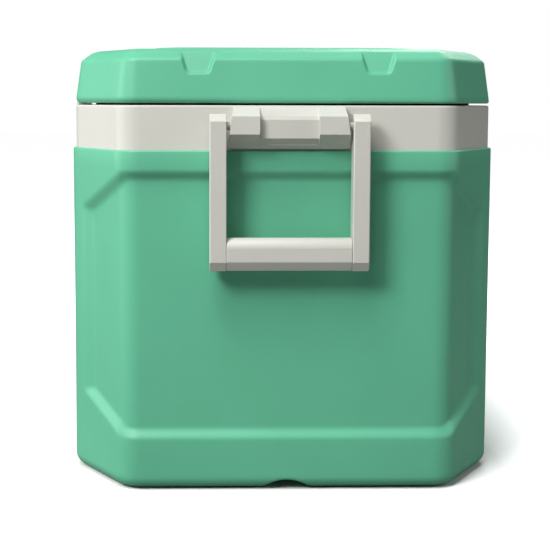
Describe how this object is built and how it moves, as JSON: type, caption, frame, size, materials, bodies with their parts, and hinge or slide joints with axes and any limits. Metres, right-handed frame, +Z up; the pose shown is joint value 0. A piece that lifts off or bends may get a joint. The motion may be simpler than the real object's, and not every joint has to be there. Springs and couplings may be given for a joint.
{
  "type": "ice chest",
  "caption": "Moulded retro-green ice chest with faceted corners, ivory collar band, hinged lid with pull latch, swing bail handles at the ends and a screw-cap drain.",
  "frame": {"origin": "on the floor under the middle of the chest", "axes": "+X along the length towards the drain end, -Y towards the latch side, +Z up"},
  "size_m": [0.7414, 0.4515, 0.446],
  "materials": {
    "green_plastic": "fine satin moulded",
    "ivory_plastic": "satin moulded",
    "foam": "rigid foam",
    "steel": "zinc plated",
    "seal_rubber": "matte",
    "foot_rubber": "matte"
  },
  "bodies": {
    "cooler_body": {"body_insulation": "foam", "drain_nut": "ivory_plastic", "drain_spout": "ivory_plastic", "feet": "foot_rubber", "handle_left_bracket": "ivory_plastic", "handle_left_bracket_screws": "steel", "handle_left_pivot_pins": "ivory_plastic", "handle_right_bracket": "ivory_plastic", "handle_right_bracket_screws": "steel", "handle_right_pivot_pins": "ivory_plastic", "hinge_body_leaf_left": "ivory_plastic", "hinge_body_leaf_right": "ivory_plastic", "hinge_body_screws": "steel", "hinge_pin_left": "steel", "hinge_pin_right": "steel", "keeper": "ivory_plastic", "keeper_screws": "steel", "liner_collar": "ivory_plastic", "outer_shell": "green_plastic"},
    "lid": {"hinge_lid_leaf_left": "ivory_plastic", "hinge_lid_leaf_right": "ivory_plastic", "hinge_lid_screws": "steel", "latch_bracket": "ivory_plastic", "latch_pin": "steel", "latch_screws": "steel", "lid_gasket": "seal_rubber", "lid_insulation": "foam", "lid_liner": "ivory_plastic", "lid_outer": "green_plastic"},
    "latch": {"latch_lever": "ivory_plastic"},
    "handle_left": {"handle_left_arm_front": "ivory_plastic", "handle_left_arm_rear": "ivory_plastic", "handle_left_grip": "ivory_plastic", "handle_left_grip_bolt": "steel", "handle_left_grip_nut": "steel"},
    "handle_right": {"handle_right_arm_front": "ivory_plastic", "handle_right_arm_rear": "ivory_plastic", "handle_right_grip": "ivory_plastic", "handle_right_grip_bolt": "steel", "handle_right_grip_nut": "steel"},
    "drain_carrier": {"drain_seal": "seal_rubber"},
    "drain_cap": {"drain_cap": "ivory_plastic"}
  },
  "joints": [
    {"name": "lid_open", "type": "hinge", "parent": "cooler_body", "child": "lid", "pos_m": [0, 0.217, 0.389], "axis": [-1, 0, 0], "range_deg": [0, 105]},
    {"name": "latch_lift", "type": "hinge", "parent": "lid", "child": "latch", "pos_m": [0, -0.219, 0.413], "axis": [-1, 0, 0], "range_deg": [0, 90]},
    {"name": "handle_left_swing", "type": "hinge", "parent": "cooler_body", "child": "handle_left", "pos_m": [-0.3587, 0, 0.368], "axis": [0, 1, 0], "range_deg": [0, 180]},
    {"name": "handle_right_swing", "type": "hinge", "parent": "cooler_body", "child": "handle_right", "pos_m": [0.3587, 0, 0.368], "axis": [0, -1, 0], "range_deg": [0, 180]},
    {"name": "drain_slide", "type": "slide", "parent": "cooler_body", "child": "drain_carrier", "axis": [1, 0, 0], "range_m": [0, 0.01002]},
    {"name": "drain_turn", "type": "hinge", "parent": "drain_carrier", "child": "drain_cap", "pos_m": [0.357, 0, 0.066], "axis": [1, 0, 0], "range_deg": [0, 900]}
  ],
  "couplings": [
    {"joint": "drain_slide", "follows": "drain_turn", "m_per_rad": 0.00063662}
  ]
}
